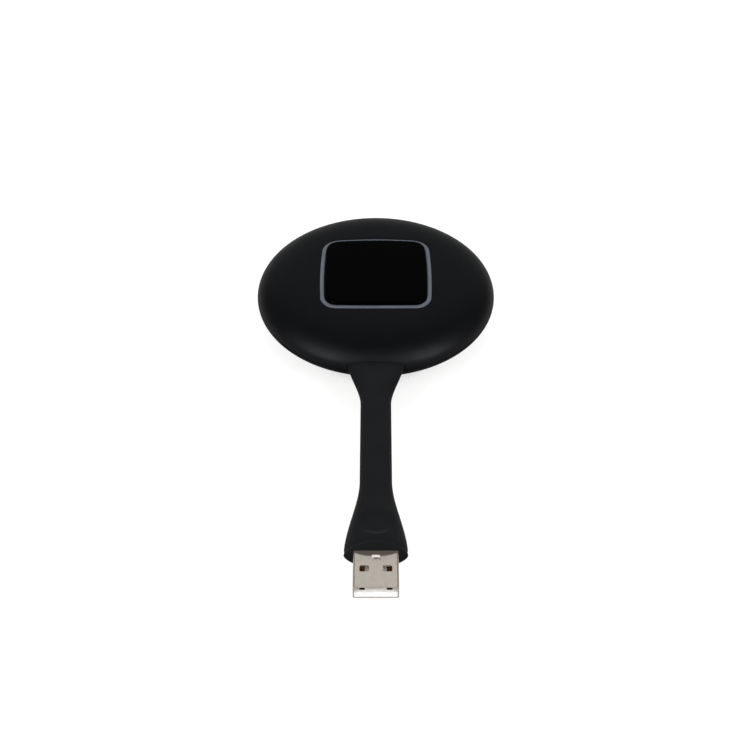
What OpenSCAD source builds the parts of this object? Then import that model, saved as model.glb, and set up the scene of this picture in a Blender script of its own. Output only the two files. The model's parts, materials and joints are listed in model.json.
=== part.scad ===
// Wireless presentation dongle: a round puck with a lit push button on its dome,
// a flexible moulded strap and a USB-A plug. All sizes are in millimetres.
// The origin is the centre of the rubber foot's underside, +Z is up, the plug points to -Y.

/* [Puck] */
// Diameter of the puck at its widest line
puck_d = 77; // [75:0.5:84]
// Height of the widest line above the desk
waist_h = 9; // [8.8:0.1:9.6]
// Height of the dome above the widest line
dome_h = 8.7; // [8.5:0.1:10]
// Squareness of the dome's profile, where 2 is an ellipse
dome_power = 4; // [3.6:0.1:4.4]
// Squareness of the profile below the widest line, where 2 is an ellipse
belly_power = 3; // [2.7:0.1:3.4]
// Wall of the top shell
top_wall = 1.8; // [1.5:0.1:2]
// Wall of the bottom shell
bottom_wall = 1.6; // [1.3:0.1:1.8]
// Gap that shows between the two shells
seam_gap = 0.3; // [0.2:0.05:0.5]
// Height of the middle of that gap above the desk
seam_h = 8.6; // [8.3:0.05:8.8]

/* [Foot] */
// Diameter of the rubber foot disc
foot_d = 48; // [47.5:0.5:50]
// Thickness of the rubber foot disc
foot_t = 1.5; // [1.3:0.1:1.8]
// Thickness of the floor over the foot
floor_t = 1.3; // [1.2:0.1:1.6]

/* [Button and light ring] */
// Outer side of the light ring
ring_side = 35.9; // [34:0.1:36]
// Width of the light ring's band
ring_band = 1.4; // [1.2:0.05:1.8]
// Radius to which the ring's four sides are bowed
ring_bow_r = 212; // [120:2:300]
// Radius of the ring's outer corners
ring_corner_r = 5.6; // [4.8:0.1:7]
// Height of the button cap above the dome
cap_rise = 0.8; // [0.3:0.1:1]
// Gap between the cap and the light ring
cap_gap = 0.15; // [0.1:0.05:0.25]
// Travel of the button
button_travel = 0.5; // [0.3:0.05:0.7]

/* [Strap] */
// Height of the strap's and the plug's middle above the desk
strap_h = 9.3; // [9:0.1:9.5]
// Width of the strap where it enters the puck
root_w = 18; // [16:0.2:18.4]
// Thickness of the strap where it enters the puck
root_t = 5.8; // [5:0.1:6]
// Width of the strap's straight middle
strap_w = 9.1; // [8:0.1:11]
// Thickness of the strap's straight middle
strap_t = 4.6; // [4.2:0.1:5]
// Length over which the strap narrows outside the puck
root_len = 19; // [16:0.2:22]
// Length of the strap's straight middle
strap_len = 31.4; // [28:0.2:60]
// Length over which the strap widens into the plug grip
grip_len = 26.6; // [25:0.2:32]
// Width of the plug grip at its mouth
grip_w = 17.2; // [16.8:0.1:19]
// Thickness of the plug grip at its mouth
grip_t = 10.4; // [9.6:0.1:11]
// Diameter of the thumb dimple
dimple_d = 9.6; // [8:0.2:10]
// Depth of the thumb dimple
dimple_depth = 0.8; // [0.4:0.1:1]
// Diameter of the cable inside the strap
cable_d = 3.2; // [3:0.1:3.4]

/* [Plug] */
// Width of the plug's metal shell
plug_w = 12; // [11.9:0.05:12.1]
// Height of the plug's metal shell
plug_t = 4.5; // [4.4:0.05:4.6]
// Length of metal that stands out of the grip
plug_out = 12.1; // [11.75:0.05:13]
// Thickness of the plug's sheet metal
plug_wall = 0.3; // [0.25:0.01:0.35]
// Thickness of the white tongue in the plug
tongue_t = 1.84; // [1.7:0.02:2]

/* [Circuit board] */
// Distance from the puck's widest line to the circuit board's edge
board_rim = 8.5; // [7.5:0.1:9]
// Thickness of the circuit board
board_t = 1.2; // [1:0.1:1.6]
// Height of the board above the floor
standoff_h = 2.2; // [2:0.1:2.6]

/* [Hidden] */
$fn = 48;

// Overrun of every cut past the face that it opens
overrun = 1;
// Clearance of a piece that drops into another
fit_gap = 0.1;
// Clearance round a screw or a wire in its hole
snug_gap = 0.02;

// Puck
puck_r = puck_d / 2;
puck_top = waist_h + dome_h;
floor_z = foot_t + floor_t;
seam_low = seam_h - seam_gap / 2;
seam_high = seam_h + seam_gap / 2;
dome_steps = 12;
belly_steps = 10;

// Lip of the bottom shell that stands inside the top shell
lip_t = 1;
lip_h = 1.75;
lip_wall = 1.4;
lip_r = puck_r - lip_wall - fit_gap;
lip_root = 1.5;

// Light ring, cap and carrier
ring_r = ring_side / 2;
ring_in = ring_r - ring_band;
ring_gap = 0.1;
ring_depth = 5.5;
ring_foot_z = puck_top - ring_depth;
land_depth = 3.1;
land_z = puck_top - land_depth;
land_w = 2.2;
flange_w = 1;
flange_t = 1.2;
cap_r = ring_in - cap_gap;
cap_depth = 2;
cap_z = puck_top - cap_depth;
carrier_t = 1.6;
carrier_z = cap_z - carrier_t;
carrier_r = cap_r - cap_gap;
hook_w = 5;
hook_t = 1;
hook_nose = 1.2;
hook_nose_t = 0.7;
hook_z = ring_foot_z - fit_gap - hook_nose_t;
corner_steps = 8;
side_steps = 6;

// Circuit board and what stands on it
board_r = puck_r - board_rim;
board_z = floor_z + standoff_h;
board_top = board_z + board_t;
board_edge = 6;
switch_side = 6;
switch_h = 3.4;
switch_lid_t = 0.4;
stem_r = 1.7;
stem_h = 1.6;
stem_run = 0.2;
stem_gap = 0.05;
stem_sunk = button_travel + stem_run;
stem_top = board_top + switch_h + stem_h;
post_r = 2.5;
pad_r = 2;
pad_gap = 1.2;
shield_w = 18;
pad_place = shield_w / 2 + pad_gap + pad_r;
shield_l = 11;
shield_h = 2.2;
shield_wall = 0.2;
shield_y = 10.1;
chip_w = 14;
chip_l = 9;
chip_h = 1.4;
wifi_w = 15;
wifi_l = 12;
wifi_h = 1.8;
wifi_y = -7;
led_w = 2;
led_l = 1.4;
led_h = 0.8;
led_row = 8;
led_x = ring_r - ring_band / 2;
aerial_l = 14;
aerial_h = 4.6;
aerial_t = 0.3;
aerial_top = 2.4;
aerial_gap = 0.6;
memory_w = 8;
memory_l = 11;
memory_h = 1;
memory_gap = 1;
coil_side = 4;
coil_h = 2;
coil_x = 9.6;
coil_y = -6.4;
regulator_side = 5;
regulator_h = 0.9;
regulator_x = 13.4;
regulator_y = -1;
crystal_w = 3.2;
crystal_l = 2.5;
crystal_h = 0.8;
crystal_y = 5.2;

// Screws: radii of shank and head, height of the head
shank_r = 1;
head_r = 1.8;
head_h = 1.1;
recess_r = 0.5;
recess_depth = 0.5;
boss_r = 2.4;
boss_gap = 0.15;
boss_place = ring_r + flange_w + boss_r + boss_gap;
boss_angles = [0, 90, 180];
boss_pilot = 5;
board_screw_in = 2.4;
board_screw_place = board_r - board_screw_in;
aerial_x = boss_place + boss_r + aerial_gap;
board_screw_angles = [45, 135, 225, 315];
board_pilot = 1.7;

// Cooling
spreader_side = 4;
spreader_end = 0.5;
spreader_w = shield_w + 2 * spreader_side;
spreader_l = shield_l + 2 * spreader_end;
spreader_t = 1.2;
pad_w = 16;
pad_l = 10;

// Strap: places along Y, from the puck's rim outwards
root_inside = 4.5;
root_y = -(puck_r - root_inside);
neck_y = root_y - root_len;
grip_y = neck_y - strap_len;
mouth_y = grip_y - grip_len;
tip_y = mouth_y - plug_out;
anchor_split_share = 0.56;
grip_split_share = 0.31;
anchor_split_y = root_y - root_len * anchor_split_share;
grip_split_y = grip_y - grip_len * grip_split_share;
section_count = 32;
strap_step = 3;
notch_gap = 0.06;

// Powers of the strap's section across and up, at the puck and at the mouth
root_side_power = 4;
root_top_power = 2;
mouth_side_power = 2;
mouth_top_power = 1.5;

// Anchor of the strap in the puck: block, waist and flange
block_l = 1.5;
waist_l = 2;
flange_l = 2.5;
waist_in = 2.3;
waist_low = 1;
flange_out = 1.4;
flange_up = 0.35;
rib_gap = 0.15;
rib_out = 2.4;
waist_y = root_y + block_l;
flange_y = waist_y + waist_l;
anchor_end_y = flange_y + flange_l;

// Cable, its clamp and its connection to the board
cable_r = cable_d / 2;
cable_out = 4.4;
cable_end_y = anchor_end_y + cable_out;
clamp_w = 18;
clamp_l = 3;
clamp_t = 2.6;
clamp_gap = 0.9;
clamp_y = anchor_end_y + clamp_gap + clamp_l / 2;
clamp_screw_x = 6.2;
clamp_split = 0.1;
clamp_pilot = 3.6;
lead_d = 0.8;
lead_pitch = 0.95;
lead_rows = [[-1, 1], [-1, -1], [1, -1], [1, 1]];
lead_run = 3.3;
lead_side_count = 8;
lead_ring_count = 8;
pin_pitch = 1.5;
lead_plug_w = 6.8;
lead_plug_l = 3.6;
lead_plug_h = 2.1;
lead_plug_y = cable_end_y + lead_run;
lead_plug_sunk = 2.6;
socket_w = 8.4;
socket_l = 4;
socket_h = 3;
socket_base = 0.45;
socket_y = lead_plug_y + lead_plug_l - lead_plug_sunk;

// Plug: shell, windows, tongue, contacts and the moulding behind them
plug_corner = 0.6;
plug_inside = 6;
plug_back_y = mouth_y + plug_inside;
window_w = 2.5;
window_l = 2;
window_x = 3.03;
window_back = 5.16;
latch_w = 2.3;
latch_l = 1.6;
latch_out = 1.35;
latch_tab_w = 1.4;
latch_tab_l = 0.9;
latch_tab_drop = 0.25;
tongue_l = 8.65;
tongue_back = 0.15;
block_y = tip_y + tongue_l;
contact_w = 1;
contact_t = 0.2;
contact_proud = 0.05;
contact_places = [-3.5, -1, 1, 3.5];
contact_backs = [1, 2, 2, 1];
tail_l = 1.4;
mould_wall = 1.2;
mould_behind = 6.4;
mould_lap = 1.4;
mould_front_y = plug_back_y - mould_lap;
mould_y = plug_back_y + mould_behind;
mould_sunk = 2;
cable_plug_y = mould_y - mould_sunk;
pocket_w = 9.4;
pocket_h = 2.8;
tail_y = plug_back_y + tail_l;
tongue_low_z = strap_h - plug_t / 2 + plug_wall;
tongue_top_z = tongue_low_z + tongue_t;
contact_z = tongue_top_z + contact_proud - contact_t;

// Colours
black_satin = [0.04, 0.04, 0.045];
black_gloss = [0.01, 0.01, 0.012];
rubber_black = [0.055, 0.058, 0.06];
ring_grey = [0.42, 0.46, 0.5];
board_green = [0.04, 0.2, 0.12];
nickel = [0.72, 0.68, 0.63];
tin = [0.7, 0.71, 0.72];
gold = [0.8, 0.6, 0.25];
off_white = [0.93, 0.94, 0.95];
chip_black = [0.06, 0.06, 0.07];
silicone = [0.75, 0.77, 0.78];
pad_grey = [0.45, 0.5, 0.56];
copper_wires = [0.55, 0.2, 0.12];

// Rises from 0 to 1 as v goes from low to high, level at both ends
function ease(v, low, high) =
  let (t = max(0, min(1, (v - low) / (high - low)))) t * t * (3 - 2 * t);

// A signed power, for the superellipses
function spow(v, power) = sign(v) * pow(abs(v), power);

// Points of a superellipse with half sizes a and b
function loop_points(a, b, side_power, top_power, count) = [
  for (i = [0 : count - 1])
    let (t = 360 * i / count)
    [a * spow(cos(t), 2 / side_power), b * spow(sin(t), 2 / top_power)]
];

// Quarter of the puck's profile, from its pole to its widest line
function quarter(r, h, power, steps) = [
  for (i = [0 : steps])
    let (t = 90 * i / steps)
    [r * pow(sin(t), 2 / power), h * cos(t)]
];

// Outline of the light ring and of what follows it, half as wide as half: four sides
// bowed to circles about points on the axes, joined by corner circles that touch them
function square_points(half) =
  let (grown = half - ring_r,
       bow_r = ring_bow_r + grown,
       corner_r = ring_corner_r + grown,
       bow_place = bow_r - half,
       reach = bow_r - corner_r,
       corner_place = (sqrt(2 * reach * reach - bow_place * bow_place) - bow_place) / 2,
       turn = asin(corner_place / reach))
  [
    for (quadrant = [0 : 3])
      each concat(
        [for (i = [0 : side_steps - 1])
          let (t = turn * (2 * i / side_steps - 1))
          turned([bow_r * cos(t) - bow_place, bow_r * sin(t)], 90 * quadrant)],
        [for (i = [0 : corner_steps - 1])
          let (t = turn + (90 - 2 * turn) * i / corner_steps)
          turned([corner_place + corner_r * cos(t), corner_place + corner_r * sin(t)],
                 90 * quadrant)])
  ];

// A point turned about the origin
function turned(p, angle) =
  [p[0] * cos(angle) - p[1] * sin(angle), p[0] * sin(angle) + p[1] * cos(angle)];

// Half width and half thickness of the strap, and the powers of its section, at a place on Y
function root_share(y) = ease(y, neck_y, root_y);
function grip_share(y) = ease(-y, -grip_y, -mouth_y);
function strap_size(y, at_root, at_middle, at_grip) =
  at_middle + (at_root - at_middle) * root_share(y) + (at_grip - at_middle) * grip_share(y);
function side_power(y) = root_side_power + (mouth_side_power - root_side_power) * grip_share(y);
function top_power(y) = root_top_power + (mouth_top_power - root_top_power) * grip_share(y);
function strap_ring(y, inset) = [
  for (p = loop_points(strap_size(y, root_w, strap_w, grip_w) / 2 - inset,
                       strap_size(y, root_t, strap_t, grip_t) / 2 - inset,
                       side_power(y), top_power(y), section_count))
    [p[0], y, strap_h + p[1]]
];

// Faces of a tube of rings with flat ends
function tube_faces(rings, sides) = concat(
  [[for (j = [0 : sides - 1]) j]],
  [for (i = [0 : rings - 2], j = [0 : sides - 1])
    [i * sides + j, (i + 1) * sides + j, (i + 1) * sides + (j + 1) % sides]],
  [for (i = [0 : rings - 2], j = [0 : sides - 1])
    [i * sides + j, (i + 1) * sides + (j + 1) % sides, i * sides + (j + 1) % sides]],
  [[for (j = [sides - 1 : -1 : 0]) (rings - 1) * sides + j]]
);

// A stretch of the strap's outer form, or of the same form set in by a wall
module strap_form(from_y, to_y, inset = 0) {
  rings = max(2, ceil((from_y - to_y) / strap_step) + 1);
  points = [
    for (i = [0 : rings - 1])
      each strap_ring(from_y + (to_y - from_y) * i / (rings - 1), inset)
  ];
  polyhedron(points, tube_faces(rings, section_count));
}

// A body with the puck's profile, set in from its surface, with a flat floor
module puck_form(inset_top, inset_bottom, floor_level) {
  top_points = quarter(puck_r - inset_top, dome_h - inset_top, dome_power, dome_steps);
  low_points = quarter(puck_r - inset_bottom, waist_h - inset_bottom, belly_power,
                       belly_steps);
  rotate_extrude()
    polygon(concat(
      [for (p = top_points) [p[0], waist_h + p[1]]],
      [for (i = [belly_steps : -1 : 0])
        [low_points[i][0], max(floor_level, waist_h - low_points[i][1])]]
    ));
}

// A bowed rounded square, as the light ring and the cap have
module square_prism(half, low, high) {
  translate([0, 0, low])
    linear_extrude(high - low)
      polygon(square_points(half));
}

// A box by its corners
module box(low, high) {
  translate(low)
    cube(high - low);
}

// A round bar along -Y
module bar_y(r, from_y, to_y, z) {
  translate([0, from_y, z])
    rotate([90, 0, 0])
      cylinder(r = r, h = from_y - to_y);
}

// A rounded rectangle standing across Y, from one place on Y to another
module rounded_bar(w, h, corner, from_y, to_y, z) {
  translate([0, from_y, z])
    rotate([90, 0, 0])
      linear_extrude(from_y - to_y)
        union() {
          square([w - 2 * corner, h], center = true);
          square([w, h - 2 * corner], center = true);
          for (sx = [-1, 1], sz = [-1, 1])
            translate([sx * (w / 2 - corner), sz * (h / 2 - corner)])
              circle(r = corner);
        }
}

// Places of the housing's bosses and of the board's screws
module at_angles(angles, distance) {
  for (a = angles)
    rotate([0, 0, a])
      translate([distance, 0, 0])
        children();
}

// A screw with its head's seat at z = 0 and its shank pointing down
module screw(shank_l) {
  translate([0, 0, -shank_l])
    cylinder(r = shank_r, h = shank_l);
  difference() {
    cylinder(r = head_r, h = head_h);
    translate([0, 0, head_h - recess_depth])
      cylinder(r = recess_r, h = recess_depth + overrun, $fn = 6);
  }
}

// Straight notch through both rims that the strap's root passes through
module root_notch() {
  translate([0, waist_y, strap_h])
    rotate([90, 0, 0])
      linear_extrude(puck_r)
        polygon(loop_points(root_w / 2 + notch_gap, root_t / 2 + notch_gap,
                            root_side_power, root_top_power, section_count));
}

// Ribs that reach into the strap's waist, with the opening for it
module saddle(low, high) {
  difference() {
    box([-root_w / 2 - rib_out, waist_y + rib_gap, low],
        [root_w / 2 + rib_out, flange_y - rib_gap, high]);
    box([-root_w / 2 + waist_in - rib_gap, waist_y - overrun,
         strap_h - root_t / 2 + waist_low - rib_gap],
        [root_w / 2 - waist_in + rib_gap, flange_y + overrun,
         strap_h + root_t / 2 - waist_low + rib_gap]);
  }
}

module top_shell() {
  color(black_satin)
    difference() {
      union() {
        difference() {
          intersection() {
            puck_form(0, 0, 0);
            translate([0, 0, seam_high])
              cylinder(r = puck_r + overrun, h = puck_top);
          }
          puck_form(top_wall, bottom_wall, floor_z);
          translate([0, 0, seam_low])
            cylinder(r = puck_r - lip_wall, h = seam_gap + lip_h + fit_gap);
        }
        intersection() {
          puck_form(top_wall / 2, bottom_wall / 2, 0);
          union() {
            at_angles(boss_angles, boss_place)
              translate([0, 0, board_z])
                cylinder(r = boss_r, h = puck_top);
            square_prism(ring_r + land_w, land_z, puck_top);
            saddle(seam_high, puck_top);
          }
        }
      }
      square_prism(ring_r + ring_gap, ring_foot_z, puck_top + overrun);
      root_notch();
      at_angles(boss_angles, boss_place)
        translate([0, 0, board_z - overrun])
          cylinder(r = shank_r + snug_gap, h = boss_pilot + overrun);
    }
}

module bottom_shell() {
  color(black_satin)
    difference() {
      union() {
        difference() {
          intersection() {
            puck_form(0, 0, 0);
            cylinder(r = puck_r + overrun, h = seam_low);
          }
          puck_form(top_wall, bottom_wall, floor_z);
        }
        difference() {
          translate([0, 0, seam_low - lip_root])
            cylinder(r = lip_r, h = lip_root + seam_gap + lip_h);
          translate([0, 0, seam_low - lip_root - overrun])
            cylinder(r = lip_r - lip_t, h = lip_root + seam_gap + lip_h + 2 * overrun);
        }
        intersection() {
          puck_form(top_wall / 2, bottom_wall / 2, foot_t + floor_t / 2);
          union() {
            at_angles(boss_angles, boss_place)
              cylinder(r = boss_r, h = board_z);
            at_angles(board_screw_angles, board_screw_place)
              cylinder(r = boss_r, h = board_z);
            box([-clamp_w / 2, clamp_y - clamp_l / 2, 0],
                [clamp_w / 2, clamp_y + clamp_l / 2, strap_h]);
            saddle(0, seam_low);
          }
        }
      }
      translate([0, 0, -overrun])
        cylinder(d = foot_d + 2 * fit_gap, h = foot_t + overrun);
      root_notch();
      at_angles(boss_angles, boss_place) {
        translate([0, 0, -overrun])
          cylinder(r = head_r + fit_gap, h = foot_t + head_h + overrun);
        cylinder(r = shank_r + fit_gap, h = board_z + overrun);
      }
      at_angles(board_screw_angles, board_screw_place)
        translate([0, 0, board_z - board_pilot])
          cylinder(r = shank_r + snug_gap, h = board_pilot + overrun);
      for (side = [-1, 1])
        translate([side * clamp_screw_x, clamp_y, strap_h - clamp_pilot])
          cylinder(r = shank_r + snug_gap, h = clamp_pilot + overrun);
      bar_y(cable_r + snug_gap, cable_end_y + overrun, anchor_end_y, strap_h);
    }
}

module light_ring() {
  color(ring_grey)
    difference() {
      intersection() {
        puck_form(0, 0, 0);
        union() {
          square_prism(ring_r, ring_foot_z, puck_top + overrun);
          square_prism(ring_r + flange_w, land_z - flange_t, land_z);
        }
      }
      square_prism(ring_in, ring_foot_z - overrun, puck_top + overrun);
    }
}

module button_cap() {
  color(black_gloss)
    intersection() {
      translate([0, 0, cap_rise])
        puck_form(0, 0, 0);
      square_prism(cap_r, cap_z, puck_top + cap_rise + overrun);
    }
}

module button_carrier() {
  color(chip_black)
    union() {
      square_prism(carrier_r, carrier_z, cap_z);
      translate([0, 0, stem_top + stem_gap])
        cylinder(r = post_r, h = carrier_z - stem_top);
      for (a = [0 : 90 : 270])
        rotate([0, 0, a]) {
          box([carrier_r - 2 * hook_t, -hook_w / 2, hook_z],
              [carrier_r - hook_t, hook_w / 2, cap_z - hook_t]);
          box([carrier_r - 2 * hook_t, -hook_w / 2, hook_z],
              [ring_in + hook_nose - hook_nose_t, hook_w / 2, hook_z + hook_nose_t]);
        }
    }
}

module return_pads() {
  color(silicone)
    for (sx = [-1, 1], sy = [-1, 1])
      translate([sx * pad_place, sy * pad_place, board_top])
        cylinder(r = pad_r, h = carrier_z - board_top);
}

module switch_body() {
  color(chip_black)
    difference() {
      box([-switch_side / 2, -switch_side / 2, board_top],
          [switch_side / 2, switch_side / 2, board_top + switch_h]);
      translate([0, 0, board_top + switch_lid_t])
        cylinder(r = stem_r + fit_gap, h = switch_h + overrun);
    }
}

module switch_stem() {
  color(off_white)
    translate([0, 0, board_top + switch_lid_t + stem_sunk])
      cylinder(r = stem_r, h = stem_top - board_top - switch_lid_t - stem_sunk);
}

module main_board() {
  color(board_green)
    difference() {
      translate([0, 0, board_z])
        cylinder(r = board_r, h = board_t);
      at_angles(boss_angles, boss_place)
        translate([0, 0, board_z - overrun])
          cylinder(r = boss_r + 2 * fit_gap, h = board_t + 2 * overrun);
      at_angles(board_screw_angles, board_screw_place)
        translate([0, 0, board_z - overrun])
          cylinder(r = shank_r + fit_gap, h = board_t + 2 * overrun);
      box([-board_r, -board_r - overrun, board_z - overrun],
          [board_r, -board_r + board_edge, board_top + overrun]);
    }
}

module processor() {
  color(chip_black)
    box([-chip_w / 2, shield_y - chip_l / 2, board_top],
        [chip_w / 2, shield_y + chip_l / 2, board_top + chip_h]);
}

module processor_shield() {
  color(tin)
    difference() {
      box([-shield_w / 2, shield_y - shield_l / 2, board_top],
          [shield_w / 2, shield_y + shield_l / 2, board_top + shield_h]);
      box([-shield_w / 2 + shield_wall, shield_y - shield_l / 2 + shield_wall, board_top - overrun],
          [shield_w / 2 - shield_wall, shield_y + shield_l / 2 - shield_wall,
           board_top + shield_h - shield_wall]);
    }
}

module wifi_module() {
  color(tin)
    box([-wifi_w / 2, wifi_y - wifi_l / 2, board_z - wifi_h],
        [wifi_w / 2, wifi_y + wifi_l / 2, board_z]);
}

// A stamped aerial on the +X edge of the board
module aerial() {
  box([aerial_x, -aerial_l / 2, board_top],
      [aerial_x + aerial_t, aerial_l / 2, board_top + aerial_h]);
  box([aerial_x, -aerial_l / 2, board_top + aerial_h - aerial_t],
      [aerial_x + aerial_top, aerial_l / 2, board_top + aerial_h]);
  for (end = [-1, 1])
    translate([0, end * (aerial_l - aerial_top) / 2, 0])
      box([aerial_x, -aerial_top / 2, board_top],
          [aerial_x + aerial_top, aerial_top / 2, board_top + aerial_t]);
}

module antenna_right() {
  color(nickel)
    aerial();
}

module antenna_left() {
  color(nickel)
    rotate([0, 0, 180])
      aerial();
}

module board_components() {
  color(chip_black) {
    for (side = [-1, 1]) {
      translate([side * (wifi_w + memory_w + 2 * memory_gap) / 2, wifi_y, 0])
        box([-memory_w / 2, -memory_l / 2, board_z - memory_h],
            [memory_w / 2, memory_l / 2, board_z]);
      translate([side * coil_x, coil_y, 0])
        box([-coil_side / 2, -coil_side / 2, board_top],
            [coil_side / 2, coil_side / 2, board_top + coil_h]);
      translate([side * regulator_x, regulator_y, 0])
        box([-regulator_side / 2, -regulator_side / 2, board_top],
            [regulator_side / 2, regulator_side / 2, board_top + regulator_h]);
    }
    translate([regulator_x, crystal_y, 0])
      box([-crystal_w / 2, -crystal_l / 2, board_top],
          [crystal_w / 2, crystal_l / 2, board_top + crystal_h]);
  }
}

module status_leds() {
  color(off_white)
    for (a = [0 : 90 : 270], side = [-1, 1])
      rotate([0, 0, a])
        translate([led_x, side * led_row, 0])
          box([-led_l / 2, -led_w / 2, board_top],
              [led_l / 2, led_w / 2, board_top + led_h]);
}

module board_connector() {
  color(off_white)
    difference() {
      box([-socket_w / 2, socket_y, board_top],
          [socket_w / 2, socket_y + socket_l, board_top + socket_h]);
      box([-lead_plug_w / 2 - fit_gap, socket_y - overrun, board_top + socket_base - fit_gap / 2],
          [lead_plug_w / 2 + fit_gap, socket_y + lead_plug_sunk,
           board_top + socket_base + lead_plug_h + fit_gap / 2]);
    }
}

module lead_plug() {
  color(off_white)
    box([-lead_plug_w / 2, lead_plug_y, board_top + socket_base],
        [lead_plug_w / 2, lead_plug_y + lead_plug_l, board_top + socket_base + lead_plug_h]);
}

// One lead with straight ends along Y, from one point to another
module lead(from, to) {
  points = [
    for (i = [0 : lead_ring_count - 1])
      let (s = i / (lead_ring_count - 1), e = ease(s, 0, 1))
      for (p = loop_points(lead_d / 2, lead_d / 2, 2, 2, lead_side_count))
        [from[0] + (to[0] - from[0]) * e + p[0],
         from[1] + (to[1] - from[1]) * s,
         from[2] + (to[2] - from[2]) * e + p[1]]
  ];
  polyhedron(points, tube_faces(lead_ring_count, lead_side_count));
}

module board_leads() {
  color(copper_wires)
    for (i = [0 : len(lead_rows) - 1])
      lead([(i - (len(lead_rows) - 1) / 2) * pin_pitch, lead_plug_y,
            board_top + socket_base + lead_plug_h / 2],
           [lead_rows[i][0] * lead_pitch / 2, cable_end_y,
            strap_h + lead_rows[i][1] * lead_pitch / 2]);
}

module strain_clamp() {
  color(chip_black)
    difference() {
      box([-clamp_w / 2, clamp_y - clamp_l / 2, strap_h + clamp_split],
          [clamp_w / 2, clamp_y + clamp_l / 2, strap_h + clamp_t]);
      bar_y(cable_r + snug_gap, cable_end_y + overrun, anchor_end_y, strap_h);
      for (side = [-1, 1])
        translate([side * clamp_screw_x, clamp_y, strap_h])
          cylinder(r = shank_r + fit_gap, h = clamp_t + overrun);
    }
}

module clamp_screws() {
  color(tin)
    for (side = [-1, 1])
      translate([side * clamp_screw_x, clamp_y, strap_h + clamp_t])
        screw(clamp_t + clamp_pilot - fit_gap);
}

module board_screws() {
  color(tin)
    at_angles(board_screw_angles, board_screw_place)
      translate([0, 0, board_top])
        screw(board_t + board_pilot - fit_gap);
}

module housing_screws() {
  color(tin)
    at_angles(boss_angles, boss_place)
      translate([0, 0, foot_t + head_h])
        rotate([180, 0, 0])
          screw(board_z - foot_t - head_h + boss_pilot - fit_gap);
}

module thermal_pad() {
  color(pad_grey)
    box([-pad_w / 2, shield_y - pad_l / 2, floor_z + spreader_t],
        [pad_w / 2, shield_y + pad_l / 2, board_z]);
}

module heat_spreader() {
  color(tin)
    box([-spreader_w / 2, shield_y - spreader_l / 2, floor_z],
        [spreader_w / 2, shield_y + spreader_l / 2, floor_z + spreader_t]);
}

module foot_pad() {
  color(rubber_black)
    cylinder(d = foot_d, h = foot_t);
}

module strap_anchor() {
  color(rubber_black)
    difference() {
      union() {
        box([-root_w / 2 - flange_out, flange_y, strap_h - root_t / 2 - flange_up],
            [root_w / 2 + flange_out, anchor_end_y, strap_h + root_t / 2 + flange_up]);
        box([-root_w / 2 + waist_in, waist_y, strap_h - root_t / 2 + waist_low],
            [root_w / 2 - waist_in, flange_y, strap_h + root_t / 2 - waist_low]);
        strap_form(waist_y, anchor_split_y);
      }
      bar_y(cable_r + snug_gap, anchor_end_y + overrun, anchor_split_y - overrun, strap_h);
    }
}

module strap() {
  color(rubber_black)
    difference() {
      strap_form(anchor_split_y, grip_split_y);
      bar_y(cable_r + snug_gap, anchor_split_y + overrun, grip_split_y - overrun, strap_h);
    }
}

module strap_cable() {
  color(chip_black)
    bar_y(cable_r, cable_end_y, cable_plug_y, strap_h);
}

module plug_grip() {
  dimple_y = mouth_y + dimple_d;
  dimple_r = (dimple_d * dimple_d / 4 + dimple_depth * dimple_depth) / (2 * dimple_depth);
  dimple_top = strap_h + strap_size(dimple_y, root_t, strap_t, grip_t) / 2;
  color(rubber_black)
    difference() {
      strap_form(grip_split_y, mouth_y);
      strap_form(mould_y, mould_front_y, mould_wall);
      bar_y(cable_r + snug_gap, grip_split_y + overrun, cable_plug_y, strap_h);
      rounded_bar(plug_w + 2 * snug_gap, plug_t + 2 * snug_gap, plug_corner,
                  plug_back_y, mouth_y - overrun, strap_h);
      translate([0, dimple_y, dimple_top - dimple_depth + dimple_r])
        sphere(r = dimple_r);
    }
}

module plug_inner_mould() {
  color(chip_black)
    difference() {
      strap_form(mould_y - fit_gap, mould_front_y + fit_gap, mould_wall + fit_gap);
      bar_y(cable_r + snug_gap, mould_y + overrun, cable_plug_y, strap_h);
      rounded_bar(plug_w + 2 * snug_gap, plug_t + 2 * snug_gap, plug_corner,
                  plug_back_y, mouth_y, strap_h);
      box([-pocket_w / 2, mouth_y, strap_h - pocket_h / 2],
          [pocket_w / 2, cable_plug_y, strap_h + pocket_h / 2]);
    }
}

module plug_shell() {
  window_y = tip_y + window_back;
  latch_y = mouth_y - latch_out;
  top_z = strap_h + plug_t / 2;
  color(nickel)
    union() {
      difference() {
        rounded_bar(plug_w, plug_t, plug_corner, plug_back_y, tip_y, strap_h);
        rounded_bar(plug_w - 2 * plug_wall, plug_t - 2 * plug_wall, plug_corner - plug_wall,
                    plug_back_y + overrun, tip_y - overrun, strap_h);
        for (side = [-1, 1])
          translate([side * window_x, 0, 0])
            box([-window_w / 2, window_y, strap_h - plug_t],
                [window_w / 2, window_y + window_l, strap_h + plug_t]);
        box([-latch_w / 2, latch_y - latch_l, strap_h],
            [latch_w / 2, latch_y, top_z + overrun]);
      }
      box([-latch_tab_w / 2, latch_y - latch_l - plug_wall, top_z - plug_wall - latch_tab_drop],
          [latch_tab_w / 2, latch_y - latch_l + latch_tab_l, top_z - latch_tab_drop]);
    }
}

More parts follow.
